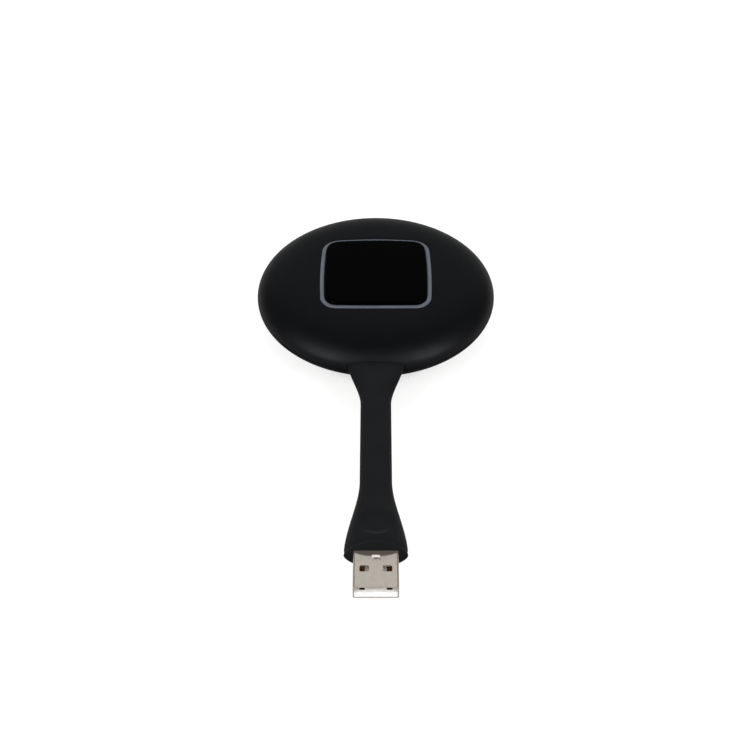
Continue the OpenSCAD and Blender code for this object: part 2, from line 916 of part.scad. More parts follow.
module plug_insulator() {
  block_w = plug_w - 2 * plug_wall - 2 * snug_gap;
  block_h = plug_t - 2 * plug_wall - 2 * snug_gap;
  latch_y = mouth_y - latch_out;
  color(off_white)
    difference() {
      rounded_bar(block_w, block_h, plug_corner - plug_wall, plug_back_y, tip_y + tongue_back,
                  strap_h);
      box([-plug_w / 2, tip_y, tongue_top_z], [plug_w / 2, block_y, strap_h + plug_t]);
      for (i = [0 : len(contact_places) - 1])
        translate([contact_places[i], 0, 0])
          box([-contact_w / 2 - snug_gap, tip_y + contact_backs[i] - snug_gap, contact_z - snug_gap],
              [contact_w / 2 + snug_gap, plug_back_y + overrun, contact_z + contact_t + snug_gap]);
      box([-latch_w / 2, latch_y - latch_l - 2 * plug_wall,
           strap_h + plug_t / 2 - 2 * plug_wall - latch_tab_drop],
          [latch_w / 2, latch_y - latch_l + latch_tab_l + fit_gap, strap_h + plug_t / 2]);
    }
}

module plug_contacts() {
  color(gold)
    for (i = [0 : len(contact_places) - 1])
      translate([contact_places[i], 0, 0])
        box([-contact_w / 2, tip_y + contact_backs[i], contact_z],
            [contact_w / 2, tail_y, contact_z + contact_t]);
}

module plug_leads() {
  color(copper_wires)
    for (i = [0 : len(lead_rows) - 1])
      lead([lead_rows[i][0] * lead_pitch / 2, cable_plug_y,
            strap_h + lead_rows[i][1] * lead_pitch / 2],
           [contact_places[i], tail_y, contact_z + contact_t / 2]);
}

top_shell();
bottom_shell();
light_ring();
button_cap();
button_carrier();
return_pads();
switch_body();
switch_stem();
main_board();
processor();
processor_shield();
wifi_module();
antenna_left();
antenna_right();
board_components();
status_leds();
board_connector();
lead_plug();
board_leads();
strain_clamp();
clamp_screws();
board_screws();
housing_screws();
thermal_pad();
heat_spreader();
foot_pad();
strap_anchor();
strap();
strap_cable();
plug_grip();
plug_inner_mould();
plug_shell();
plug_insulator();
plug_contacts();
plug_leads();
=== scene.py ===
"""Looks of the wireless presentation dongle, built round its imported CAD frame."""

import json
import math

import bmesh
import bpy
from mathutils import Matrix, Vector
from mathutils.geometry import delaunay_2d_cdt


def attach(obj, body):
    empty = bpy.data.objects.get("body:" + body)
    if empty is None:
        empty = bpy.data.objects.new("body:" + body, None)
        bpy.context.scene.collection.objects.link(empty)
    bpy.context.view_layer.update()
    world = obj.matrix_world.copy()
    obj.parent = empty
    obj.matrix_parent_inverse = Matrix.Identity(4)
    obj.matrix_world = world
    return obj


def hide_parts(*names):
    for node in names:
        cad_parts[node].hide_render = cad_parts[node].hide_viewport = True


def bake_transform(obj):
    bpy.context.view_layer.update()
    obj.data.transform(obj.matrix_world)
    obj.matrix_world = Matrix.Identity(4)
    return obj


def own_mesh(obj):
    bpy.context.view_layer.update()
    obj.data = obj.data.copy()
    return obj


MM = 0.001
TAU = 2 * math.pi
QUARTER = math.pi / 2

# Sizes of the object in millimetres, as in the CAD source where that has them
PUCK_R = 38.5
WAIST_H = 9
DOME_H = 8.7
DOME_POWER = 4
BELLY_POWER = 3
TOP_WALL = 1.8
BOTTOM_WALL = 1.6
SEAM_LOW = 8.45
SEAM_HIGH = 8.75
FOOT_R = 24
FOOT_T = 1.5
FLOOR_Z = 2.8
LIP_R = 37
LIP_T = 1
LIP_TOP = 10.5
FIT_GAP = 0.1
SNUG_GAP = 0.02
SHELL_EDGE = 0.12

BOARD_Z = 5
BOSS_R = 2.4
BOSS_LOW = 2.2
BOSS_TOP = 16
BOSS_PLACE = 21.5
BOARD_SCREW_PLACE = 27.6
PILOT_R = 1 + SNUG_GAP
FREE_R = 1 + FIT_GAP
HEAD_R = 1.9
HEAD_TOP = 2.6
BOSS_PILOT_L = 5
BOARD_PILOT_L = 1.7
CLAMP_PILOT_L = 3.6

RIB_GAP = 0.15
RIB_HALF = 11.4
RIB_OPENING = 6.85
RIB_BASE = 4.15
RIB_ROOF = 14.1
TUNNEL_HALF = 2.05
CLAMP_HALF = 9
CLAMP_Y = -25.6
CLAMP_L = 3
CLAMP_BASE = 2.4
CLAMP_SCREWS = [(-6.2, CLAMP_Y), (6.2, CLAMP_Y)]

# How far a cut goes past the end of what it cuts
PAST = 1

RING_HALF = 17.95
RING_BAND = 1.4
RING_BOW_R = 212
RING_CORNER_R = 5.6
RING_FOOT_Z = 12.2
LAND_Z = 14.6
LAND_W = 2.2
FLANGE_W = 1
FLANGE_T = 1.2
CAP_HALF = 16.4
CAP_RISE = 0.8
CAP_Z = 15.7

PAD_PLACE = 12.2
PAD_R = 2
PAD_LOW = 6.2
PAD_TOP = 14.1

STRAP_Z = 9.3
ROOT_Y = -34
NECK_Y = -53
GRIP_Y = -84.4
MOUTH_Y = -111
SPLIT_Y = -69
ROOT_W = 18
ROOT_T = 5.8
ROOT_LIFT = 1.1
STRAP_W = 9.1
STRAP_T = 4.6
GRIP_W = 17.2
GRIP_T = 10.4
ANCHOR_Y = -28
FLANGE_Y = -30.5
BLOCK_Y = -32.5
NOTCH_GAP = 0.1
NOTCH_Y = -36.4

# How far the anchor's flange and waist stand out from the root, on X and on Z
FLANGE_OUT = (1.4, 0.35)
WAIST_OUT = (-2.3, -1)

# Powers of the strap's outline at the root, the middle and the grip
SIDE_POWERS = (1.7, 4, 2)
TOP_POWERS = (2, 2, 1.5)

CABLE_R = 1.6
CABLE_START_Y = -23.6
CABLE_END_Y = -100.6
MOULD_FRONT_Y = -106.4
MOULD_BACK_Y = -98.6
MOULD_WALL = 1.2
DIMPLE_Y = -101.4
DIMPLE_D = 10.2
DIMPLE_DEPTH = 1.5
DIMPLE_STRETCH = 0.7

# Back from the grip's mouth: the lip's end, the hollow's deepest place and its end, and how deep it is
MOUTH_LIP_L = 0.3
HOLLOW_PLACE = 0.7
HOLLOW_END = 2.4
HOLLOW_DEPTH = 0.16

PLUG_W = 12
PLUG_T = 4.5
PLUG_WALL = 0.3
PLUG_CORNER = 0.6
PLUG_BACK_Y = -105
PLUG_TIP_Y = -123.1
WINDOW_PLACE = 3.03
WINDOW_Y = PLUG_TIP_Y + 6.16
WINDOW_W = 2.5
WINDOW_L = 2.0
WINDOW_CORNER = 0.35
LATCH_HALF = 1.15
LATCH_CORNER = 0.3
LATCH_BACK = MOUTH_Y - 1.35
LATCH_FRONT = LATCH_BACK - 1.6
TAB_ROOT = 0.72
TAB_TIP = 0.5
TAB_L = 0.9
TAB_DROP = 0.3

# Mesh densities: points round a ring, rows along a profile
RING_COUNT = 360
STRAP_COUNT = 128
PROFILE_ROWS = 36
FILLET_ROWS = 4

# In metres: points this close are made one, and edges this short are closed up after a cut
WELD = 1e-8
SLIVER = 2e-6

# Edges that turn more than this, in degrees, are shaded sharp
SHARP_ANGLE = 35


def ease(value, low, high):
    """Rises from 0 to 1 as value goes from low to high, level at both ends."""
    share = max(0.0, min(1.0, (value - low) / (high - low)))
    return share * share * (3 - 2 * share)


def signed_power(value, power):
    return math.copysign(abs(value) ** power, value)


def square_reach(half, angle):
    """Distance from the centre, in one direction, to the outline of the light ring or of what follows it.

    Four sides bowed to circles about points on the axes are joined by corner circles that touch them.
    """
    grown = half - RING_HALF
    bow_r = RING_BOW_R + grown
    corner_r = RING_CORNER_R + grown
    bow_place = bow_r - half
    reach = bow_r - corner_r
    corner_place = (math.sqrt(2 * reach**2 - bow_place**2) - bow_place) / 2
    turn = math.asin(corner_place / reach)
    touch = math.atan2(bow_r * math.sin(turn), bow_r * math.cos(turn) - bow_place)
    aside = abs((angle + QUARTER / 2) % QUARTER - QUARTER / 2)
    across, along = math.sin(aside), math.cos(aside)
    if aside < touch:
        return math.sqrt(bow_r**2 - (bow_place * across) ** 2) - bow_place * along
    off = corner_place * (along - across)
    return corner_place * (along + across) + math.sqrt(max(0.0, corner_r**2 - off**2))


def dome_z(r):
    return WAIST_H + DOME_H * math.sqrt(max(0.0, 1 - (r / PUCK_R) ** DOME_POWER))


def profile_r(z, r, height, power):
    """Radius of a puck-like profile at a height above or below its widest line."""
    return r * (1 - (abs(z - WAIST_H) / height) ** 2) ** (1 / power)


def belly_z(r, full_r=PUCK_R, height=WAIST_H):
    return WAIST_H - height * math.sqrt(max(0.0, 1 - (r / full_r) ** BELLY_POWER))


# Meshes


def new_object(name, verts, faces, sharp_angle=SHARP_ANGLE):
    mesh = bpy.data.meshes.new(name)
    mesh.from_pydata([tuple(v * MM for v in p) for p in verts], [], faces)
    work = bmesh.new()
    work.from_mesh(mesh)
    bmesh.ops.remove_doubles(work, verts=work.verts, dist=WELD)
    bmesh.ops.recalc_face_normals(work, faces=work.faces)
    work.to_mesh(mesh)
    work.free()
    obj = bpy.data.objects.new(name, mesh)
    bpy.context.scene.collection.objects.link(obj)
    shade(obj, sharp_angle)
    return obj


def shade(obj, sharp_angle=SHARP_ANGLE):
    obj.data.shade_smooth()
    obj.data.set_sharp_from_angle(angle=math.radians(sharp_angle))


def ring_faces(rings, wrap):
    """Faces through rings of points. One point is a pole, and a full ring at an open end gets a cap."""
    starts = [0]
    for ring in rings:
        starts.append(starts[-1] + len(ring))
    pairs = [(i, i + 1) for i in range(len(rings) - 1)]
    if wrap:
        pairs.append((len(rings) - 1, 0))
    faces = []
    for a, b in pairs:
        count = max(len(rings[a]), len(rings[b]))
        for j in range(count):
            k = (j + 1) % count
            corners = [
                starts[a] + j % len(rings[a]),
                starts[a] + k % len(rings[a]),
                starts[b] + k % len(rings[b]),
                starts[b] + j % len(rings[b]),
            ]
            faces.append(list(dict.fromkeys(corners)))
    if not wrap:
        for end in (0, len(rings) - 1):
            if len(rings[end]) > 1:
                faces.append(list(range(starts[end], starts[end + 1])))
    return faces


def loft(name, rings, wrap=False):
    verts = [p for ring in rings for p in ring]
    return new_object(name, verts, ring_faces(rings, wrap))


def lofts(name, ring_sets):
    """Several closed lofts in one mesh."""
    verts, faces = [], []
    for rings in ring_sets:
        start = len(verts)
        verts += [p for ring in rings for p in ring]
        faces += [[i + start for i in face] for face in ring_faces(rings, False)]
    return new_object(name, verts, faces)


def polar_ring(row, count=RING_COUNT):
    """Points round the Z axis. row gives the radius and the height in each direction."""
    points = []
    for i in range(count):
        angle = TAU * i / count
        r, z = row(angle)
        points.append((r * math.cos(angle), r * math.sin(angle), z))
    return [points[0]] if r == 0 else points


def circle_row(r, z):
    return lambda angle: (r, z)


def square_row(half, height, share=1.0):
    """A row along the ring's outline. height is a number, or a function of the radius."""

    def row(angle):
        r = square_reach(half, angle) * share
        return r, height(r) if callable(height) else height

    return row


def quarter_turns(rows=FILLET_ROWS):
    """Sine and cosine at even steps of a quarter turn, for fillets."""
    return [(math.sin(QUARTER * i / rows), math.cos(QUARTER * i / rows)) for i in range(rows + 1)]


def combine(obj, other, operation):
    """Joins another closed mesh to a piece, or cuts it away, and removes it."""
    step = obj.modifiers.new("combine", "BOOLEAN")
    step.operation = operation
    step.solver = "EXACT"
    step.object = other
    made = bpy.data.meshes.new_from_object(obj.evaluated_get(bpy.context.evaluated_depsgraph_get()))
    obj.modifiers.clear()
    made.name = obj.name
    work = bmesh.new()
    work.from_mesh(made)
    bmesh.ops.remove_doubles(work, verts=work.verts, dist=SLIVER)
    bmesh.ops.dissolve_degenerate(work, dist=SLIVER, edges=work.edges)
    work.to_mesh(made)
    work.free()
    obj.data = made
    bpy.data.objects.remove(other)
    shade(obj)


def soften(obj, width):
    """Rounds the sharp edges of a piece. The width is in millimetres."""
    edge = obj.modifiers.new("edge", "BEVEL")
    edge.width = width * MM
    edge.segments = 2
    edge.limit_method = "ANGLE"
    edge.angle_limit = math.radians(50)
    edge.harden_normals = True


# Materials


def feed(tree, socket, value):
    """Sets an input to a number or a colour, or links it to another node's output."""
    if isinstance(value, bpy.types.NodeSocket):
        tree.links.new(value, socket)
    else:
        socket.default_value = value


def math_node(tree, operation, *values):
    node = tree.nodes.new("ShaderNodeMath")
    node.operation = operation
    for socket, value in zip(node.inputs, values):
        feed(tree, socket, value)
    return node.outputs["Value"]


def mix_colors(tree, factor, low, high):
    node = tree.nodes.new("ShaderNodeMix")
    node.data_type = "RGBA"
    for name, value in (("A", low), ("B", high), ("Factor", factor)):
        feed(tree, node.inputs[name], value)
    return node.outputs["Result"]


class Surface:
    """A principled material with helpers for its procedural detail."""

    def __init__(self, name, color, roughness, **sockets):
        self.material = bpy.data.materials.new(name)
        self.material.use_nodes = True
        self.tree = self.material.node_tree
        self.nodes = self.tree.nodes
        self.links = self.tree.links
        self.shader = self.nodes["Principled BSDF"]
        self.shader.inputs["Base Color"].default_value = (*color, 1)
        self.shader.inputs["Roughness"].default_value = roughness
        for socket, value in sockets.items():
            self.shader.inputs[socket.replace("_", " ")].default_value = value
        self.material.diffuse_color = (*color, 1)
        self.place = self.nodes.new("ShaderNodeTexCoord").outputs["Object"]
        self.normal = None

    def noise(self, size, detail=2.0, stretch=(1, 1, 1)):
        """Noise with features of one size in millimetres."""
        mapping = self.nodes.new("ShaderNodeMapping")
        mapping.inputs["Scale"].default_value = [s / (size * MM) for s in stretch]
        texture = self.nodes.new("ShaderNodeTexNoise")
        texture.inputs["Scale"].default_value = 1
        texture.inputs["Detail"].default_value = detail
        self.links.new(self.place, mapping.inputs["Vector"])
        self.links.new(mapping.outputs["Vector"], texture.inputs["Vector"])
        return texture.outputs["Fac"]

    def spread(self, fac, low, high):
        """Maps a noise to a range of values."""
        node = self.nodes.new("ShaderNodeMapRange")
        node.inputs["From Min"].default_value = 0.3
        node.inputs["From Max"].default_value = 0.7
        node.inputs["To Min"].default_value = low
        node.inputs["To Max"].default_value = high
        self.links.new(fac, node.inputs["Value"])
        return node.outputs["Result"]

    def vary_roughness(self, size, low, high, **options):
        value = self.spread(self.noise(size, **options), low, high)
        self.links.new(value, self.shader.inputs["Roughness"])
        return self

    def vary_color(self, size, low, high, **options):
        factor = self.spread(self.noise(size, **options), 0, 1)
        mixed = mix_colors(self.tree, factor, (*low, 1), (*high, 1))
        self.links.new(mixed, self.shader.inputs["Base Color"])
        return self

    def grain(self, size, height, strength=1.0, **options):
        """Bumps of one size and height, both in millimetres."""
        bump = self.nodes.new("ShaderNodeBump")
        bump.inputs["Strength"].default_value = strength
        bump.inputs["Distance"].default_value = height * MM
        self.links.new(self.noise(size, **options), bump.inputs["Height"])
        if self.normal:
            self.links.new(self.normal, bump.inputs["Normal"])
        self.normal = bump.outputs["Normal"]
        self.links.new(self.normal, self.shader.inputs["Normal"])
        return self


def satin_black():
    color = (0.0012, 0.0013, 0.0017)
    gloss = {"Specular_IOR_Level": 0.2, "Specular_Tint": (0.84, 0.9, 1, 1)}
    made = Surface("satin_black", color, 0.45, **gloss)
    made.vary_roughness(6, 0.43, 0.47)
    made.vary_color(9, (0.0011, 0.0012, 0.0016), (0.0013, 0.0014, 0.0018))
    return made.grain(0.25, 0.003, 0.5)


def gloss_black():
    made = Surface("gloss_black", (0.0005, 0.0005, 0.0006), 0.06, Specular_IOR_Level=0.02)
    made.vary_roughness(8, 0.04, 0.08)
    return made.grain(3, 0.0015, 0.4)


def ring_grey():
    made = Surface("ring_grey", (0.086, 0.105, 0.128), 0.34)
    made.vary_color(4, (0.08, 0.098, 0.12), (0.092, 0.112, 0.136))
    return made.grain(0.3, 0.003, 0.5)


def soft_touch():
    sheen = {"Sheen_Weight": 0.07, "Sheen_Roughness": 0.35}
    made = Surface("soft_touch", (0.0074, 0.0084, 0.0094), 0.62, Specular_IOR_Level=0.06, **sheen)
    made.vary_roughness(5, 0.58, 0.66)
    made.vary_color(7, (0.0069, 0.0079, 0.0089), (0.0079, 0.0089, 0.0099))
    made.grain(0.22, 0.01, 0.7)
    return made.grain(1.6, 0.006, 0.5)


def foot_rubber():
    made = Surface("foot_rubber", (0.011, 0.0112, 0.0115), 0.7, Specular_IOR_Level=0.3)
    made.vary_roughness(4, 0.65, 0.75)
    return made.grain(0.35, 0.02, 0.8)


def nickel():
    made = Surface("nickel", (0.66, 0.6, 0.52), 0.16, Metallic=0.87)
    made.vary_roughness(1.4, 0.14, 0.18, detail=4.0)
    made.vary_color(1.1, (0.645, 0.585, 0.51), (0.675, 0.615, 0.535), detail=5.0)
    made.grain(0.12, 0.001, 0.4, stretch=(1, 0.2, 1))
    return made.grain(2.5, 0.002, 0.4)


# Painted shade: the contacts' gold is darkened to a deep brown. This is partly their own copper tone and
# partly the shade inside the plug's windows.
def gold():
    made = Surface("gold", (0.27, 0.09, 0.02), 0.3, Metallic=1.0)
    made.vary_roughness(0.6, 0.2, 0.3)
    return made.grain(0.1, 0.001, 0.5, stretch=(1, 0.2, 1))


def plain_plastic(name, color, roughness, size=0.3):
    made = Surface(name, color, roughness)
    made.vary_roughness(3, roughness * 0.9, roughness * 1.1)
    made.vary_color(2.5, tuple(c * 0.93 for c in color), tuple(min(1.0, c * 1.05) for c in color))
    return made.grain(size, 0.004, 0.6)


def bright_metal(name, color, roughness, stretch=(1, 0.15, 1)):
    made = Surface(name, color, roughness, Metallic=1.0)
    made.vary_roughness(1.5, roughness * 0.8, roughness * 1.2)
    return made.grain(0.15, 0.002, 0.6, stretch=stretch)


def circuit_board():
    made = Surface("circuit_board", (0.01, 0.09, 0.045), 0.35, Coat_Weight=0.4)
    made.vary_color(0.9, (0.008, 0.075, 0.038), (0.016, 0.13, 0.07), detail=1.0)
    return made.grain(0.5, 0.01, 0.6)


def make_materials():
    """One material for each material slot of the record."""
    makers = {
        "satin_plastic": satin_black,
        "gloss_plastic": gloss_black,
        "ring_plastic": ring_grey,
        "dark_plastic": lambda: plain_plastic("dark_plastic", (0.02, 0.02, 0.022), 0.5),
        "chip_plastic": lambda: plain_plastic("chip_plastic", (0.025, 0.025, 0.028), 0.55, 0.15),
        "white_plastic": lambda: plain_plastic("white_plastic", (0.87, 0.9, 0.92), 0.4),
        "lamp_white": lambda: plain_plastic("lamp_white", (0.85, 0.83, 0.7), 0.3),
        "silicone": lambda: plain_plastic("silicone", (0.5, 0.52, 0.53), 0.55),
        "thermal_rubber": lambda: plain_plastic("thermal_rubber", (0.2, 0.24, 0.3), 0.8, 0.5),
        "soft_touch_rubber": soft_touch,
        "foot_rubber": foot_rubber,
        "cable_jacket": lambda: plain_plastic("cable_jacket", (0.015, 0.015, 0.016), 0.55),
        "wire_insulation": lambda: plain_plastic("wire_insulation", (0.3, 0.03, 0.02), 0.45),
        "circuit_board": circuit_board,
        "tinned_steel": lambda: bright_metal("tinned_steel", (0.66, 0.67, 0.68), 0.32),
        "spreader_metal": lambda: bright_metal("spreader_metal", (0.75, 0.75, 0.76), 0.4),
        "nickel_steel": nickel,
        "gold_contact": gold,
    }
    return {slot: make().material for slot, make in makers.items()}


def dress(obj, slot, materials):
    obj.data.materials.clear()
    obj.data.materials.append(materials[slot])


# Puck


def around(distance, angles):
    return [(distance * math.cos(a), distance * math.sin(a)) for a in map(math.radians, angles)]


def moved(rings, x, y):
    return [[(x + u, y + v, z) for u, v, z in ring] for ring in rings]


def posts(name, places, r, low, high, count=48):
    """Closed upright cylinders in one mesh, at places on X and Y."""
    rings = [polar_ring(circle_row(r, z), count) for z in (low, high)]
    return lofts(name, [moved(rings, x, y) for x, y in places])


def slab(name, outline, from_y, to_y):
    """A closed prism along Y from an outline in X and Z."""
    return loft(name, [[(x, y, z) for x, z in outline] for y in (from_y, to_y)])


HOUSING_POSTS = around(BOSS_PLACE, (0, 90, 180))
BOARD_POSTS = around(BOARD_SCREW_PLACE, (45, 135, 225, 315))
RIB_Y = (BLOCK_Y + RIB_GAP, FLANGE_Y - RIB_GAP)


def belly_row(z, r=PUCK_R, height=WAIST_H):
    return circle_row(profile_r(z, r, height, BELLY_POWER), z)


def fit_dome(shell):
    """Adds the screws' bosses and the rib round the strap's waist, and cuts the pilots and the notch."""
    over = STRAP_Z + TUNNEL_HALF
    rib = [(-RIB_HALF, SEAM_HIGH), (-RIB_OPENING, SEAM_HIGH), (-RIB_OPENING, over)]
    rib += [(-x, z) for x, z in reversed(rib)]
    rib += [(RIB_HALF, RIB_ROOF), (-RIB_HALF, RIB_ROOF)]
    pilot_end = BOARD_Z + BOSS_PILOT_L
    combine(shell, posts("bosses", HOUSING_POSTS, BOSS_R, BOARD_Z, BOSS_TOP), "UNION")
    combine(shell, slab("rib", rib, *RIB_Y), "UNION")
    combine(shell, posts("pilots", HOUSING_POSTS, PILOT_R, BOARD_Z - PAST, pilot_end), "DIFFERENCE")
    combine(shell, notch_cutter(), "DIFFERENCE")


def top_shell():
    """Dome with the ring's opening, the land under it and the rim."""
    opening = RING_HALF + FIT_GAP
    edge = SHELL_EDGE
    inner_r = PUCK_R - TOP_WALL
    inner_h = DOME_H - TOP_WALL
    lip_room = LIP_R + FIT_GAP
    lip_top = LIP_TOP + FIT_GAP
    rows = [square_row(opening, LAND_Z)]
    for up, back in quarter_turns():
        rows.append(square_row(opening + edge * (1 - back), lambda r, up=up: dome_z(r) - edge * (1 - up)))

    def dome_row(share):
        def row(angle):
            start = square_reach(opening + edge, angle)
            low = math.asin((start / PUCK_R) ** (DOME_POWER / 2))
            turn = low + (QUARTER - low) * share
            return PUCK_R * math.sin(turn) ** (2 / DOME_POWER), WAIST_H + DOME_H * math.cos(turn)

        return row

    rows += [dome_row((i + 1) / PROFILE_ROWS) for i in range(PROFILE_ROWS)]
    seam_r = profile_r(SEAM_HIGH + edge, PUCK_R, WAIST_H, BELLY_POWER)
    rows.append(belly_row((WAIST_H + SEAM_HIGH + edge) / 2))
    for up, back in quarter_turns():
        rows.append(circle_row(seam_r - edge * (1 - back), SEAM_HIGH + edge * (1 - up)))
    rows.append(circle_row(lip_room, SEAM_HIGH))
    rows.append(circle_row(lip_room, lip_top))
    land_half = RING_HALF + LAND_W
    start_r = profile_r(lip_top, inner_r, inner_h, DOME_POWER)
    land_turn = math.asin((start_r / inner_r) ** (DOME_POWER / 2))

    def inner_row(share):
        def row(angle):
            end = square_reach(land_half, angle)
            high = math.asin((end / inner_r) ** (DOME_POWER / 2))
            turn = land_turn + (high - land_turn) * share
            return inner_r * math.sin(turn) ** (2 / DOME_POWER), WAIST_H + inner_h * math.cos(turn)

        return row

    rows += [inner_row(i / PROFILE_ROWS) for i in range(PROFILE_ROWS + 1)]
    rows.append(square_row(land_half, LAND_Z))
    shell = loft("dome_shell", [polar_ring(row) for row in rows], wrap=True)
    fit_dome(shell)
    return shell


def fit_belly(shell):
    """Adds bosses, stands, rib and the cable's cradle, and cuts screw holes, groove and notch."""
    under = STRAP_Z - TUNNEL_HALF
    rib = [(RIB_HALF, SEAM_LOW), (RIB_OPENING, SEAM_LOW), (RIB_OPENING, under)]
    rib += [(-x, z) for x, z in reversed(rib)]
    rib += [(-RIB_HALF, RIB_BASE), (RIB_HALF, RIB_BASE)]
    cradle = [(-CLAMP_HALF, CLAMP_BASE), (CLAMP_HALF, CLAMP_BASE)]
    cradle += [(CLAMP_HALF, STRAP_Z), (-CLAMP_HALF, STRAP_Z)]
    cradle_y = (CLAMP_Y + CLAMP_L / 2, CLAMP_Y - CLAMP_L / 2)
    groove = circle_outline(CABLE_R + SNUG_GAP)
    combine(shell, posts("bosses", HOUSING_POSTS, BOSS_R, BOSS_LOW, BOARD_Z), "UNION")
    combine(shell, posts("stands", BOARD_POSTS, BOSS_R, HEAD_TOP, BOARD_Z), "UNION")
    combine(shell, slab("rib", rib, *RIB_Y), "UNION")
    combine(shell, slab("cradle", cradle, *cradle_y), "UNION")
    for cutter in (
        posts("heads", HOUSING_POSTS, HEAD_R, -PAST, HEAD_TOP),
        posts("shanks", HOUSING_POSTS, FREE_R, 0, BOARD_Z + PAST),
        posts("pilots", BOARD_POSTS, PILOT_R, BOARD_Z - BOARD_PILOT_L, BOARD_Z + PAST),
        posts("clamp_pilots", CLAMP_SCREWS, PILOT_R, STRAP_Z - CLAMP_PILOT_L, STRAP_Z + PAST),
        slab("groove", groove, CABLE_START_Y + PAST, ANCHOR_Y),
        notch_cutter(),
    ):
        combine(shell, cutter, "DIFFERENCE")


def bottom_shell():
    """Belly with the foot's recess and the lip that stands in the dome."""
    recess_r = FOOT_R + FIT_GAP
    edge = SHELL_EDGE
    inner_r = PUCK_R - BOTTOM_WALL
    inner_h = WAIST_H - BOTTOM_WALL
    recess_z = belly_z(recess_r + edge)
    rows = [circle_row(0, FOOT_T), circle_row(recess_r, FOOT_T)]
    for up, back in quarter_turns():
        rows.append(circle_row(recess_r + edge * (1 - back), recess_z + edge * (1 - up)))
    low = math.acos((WAIST_H - recess_z) / WAIST_H)
    high = math.acos((WAIST_H - SEAM_LOW + edge) / WAIST_H)
    for i in range(1, PROFILE_ROWS + 1):
        rows.append(belly_row(WAIST_H - WAIST_H * math.cos(low + (high - low) * i / PROFILE_ROWS)))
    seam_r = profile_r(SEAM_LOW - edge, PUCK_R, WAIST_H, BELLY_POWER)
    for up, back in quarter_turns():
        rows.append(circle_row(seam_r - edge * (1 - back), SEAM_LOW - edge * (1 - up)))
    rows.append(circle_row(LIP_R, SEAM_LOW))
    rows.append(circle_row(LIP_R, LIP_TOP))
    rows.append(circle_row(LIP_R - LIP_T, LIP_TOP))
    lip_in = LIP_R - LIP_T
    start = math.acos((WAIST_H - belly_z(lip_in, inner_r, inner_h)) / inner_h)
    end = math.acos((WAIST_H - FLOOR_Z) / inner_h)
    for i in range(PROFILE_ROWS + 1):
        z = WAIST_H - inner_h * math.cos(start + (end - start) * i / PROFILE_ROWS)
        rows.append(belly_row(z, inner_r, inner_h))
    rows.append(circle_row(0, FLOOR_Z))
    shell = loft("belly_shell", [polar_ring(row) for row in rows])
    fit_belly(shell)
    return shell


def light_ring():
    """Translucent frame with rounded upper edges and a flange under the dome."""
    inner = RING_HALF - RING_BAND
    edge = 0.22
    crown = 0.03
    flange = RING_HALF + FLANGE_W
    rows = [
        square_row(inner, RING_FOOT_Z),
        square_row(RING_HALF, RING_FOOT_Z),
        square_row(RING_HALF, LAND_Z - FLANGE_T),
        square_row(flange, LAND_Z - FLANGE_T),
        square_row(flange, LAND_Z),
        square_row(RING_HALF, LAND_Z),
    ]
    for up, back in quarter_turns():
        rows.append(square_row(RING_HALF - edge * (1 - back), lambda r, up=up: dome_z(r) - edge * (1 - up)))
    for share in (0.25, 0.5, 0.75):
        half = RING_HALF - edge - (RING_BAND - 2 * edge) * share
        lift = crown * math.sin(math.pi * share)
        rows.append(square_row(half, lambda r, lift=lift: dome_z(r) + lift))
    for up, back in reversed(quarter_turns()):
        rows.append(square_row(inner + edge * (1 - back), lambda r, up=up: dome_z(r) - edge * (1 - up)))
    return loft("light_frame", [polar_ring(row) for row in rows], wrap=True)


def button_cap():
    """Gloss cap with a small fillet round its edge."""
    edge = 0.3
    rows = [circle_row(0, CAP_Z), square_row(CAP_HALF, CAP_Z)]

    def top(r):
        return dome_z(r) + CAP_RISE

    for up, back in quarter_turns():
        rows.append(square_row(CAP_HALF - edge * (1 - back), lambda r, up=up: top(r) - edge * (1 - up)))
    top_rows = 24
    for i in range(1, top_rows):
        rows.append(square_row(CAP_HALF - edge, top, 1 - i / top_rows))
    rows.append(circle_row(0, top(0)))
    return loft("gloss_cap", [polar_ring(row) for row in rows])


def foot_disc():
    """Rubber disc with rounded edges and a shallow groove near its rim."""
    edge = 0.25
    groove_r = 21.6
    groove = 0.35
    groove_rows = 8
    rows = [circle_row(0, FOOT_T), circle_row(FOOT_R - edge, FOOT_T)]
    for up, back in quarter_turns():
        rows.append(circle_row(FOOT_R - edge * (1 - up), FOOT_T - edge * (1 - back)))
    for up, back in reversed(quarter_turns()):
        rows.append(circle_row(FOOT_R - edge * (1 - up), edge * (1 - back)))
    for i in range(groove_rows + 1):
        turn = math.pi * i / groove_rows
        rows.append(circle_row(groove_r + groove * math.cos(turn), groove * math.sin(turn)))
    rows.append(circle_row(0, 0))
    return loft("foot_disc", [polar_ring(row) for row in rows])


# Strap


def strap_size(y, at_root, at_middle, at_grip):
    root_share = ease(y, NECK_Y, ROOT_Y)
    grip_share = ease(-y, -GRIP_Y, -MOUTH_Y)
    return at_middle + (at_root - at_middle) * root_share + (at_grip - at_middle) * grip_share


def strap_ring(y, inset=0.0):
    """Outline of the strap at a place on Y, as points of X, Y and Z."""
    half_w = strap_size(y, ROOT_W, STRAP_W, GRIP_W) / 2 - inset
    half_t = strap_size(y, ROOT_T, STRAP_T, GRIP_T) / 2 - inset
    side_power = strap_size(y, *SIDE_POWERS)
    top_power = strap_size(y, *TOP_POWERS)
    widest = strap_size(y, ROOT_LIFT, 0, 0)
    ring = []
    for i in range(STRAP_COUNT):
        turn = TAU * i / STRAP_COUNT
        up = math.sin(turn)
        x = half_w * signed_power(math.cos(turn), 2 / side_power)
        z = (half_t - math.copysign(widest, up)) * signed_power(up, 2 / top_power)
        ring.append((x, y, STRAP_Z + widest + z))
    return ring


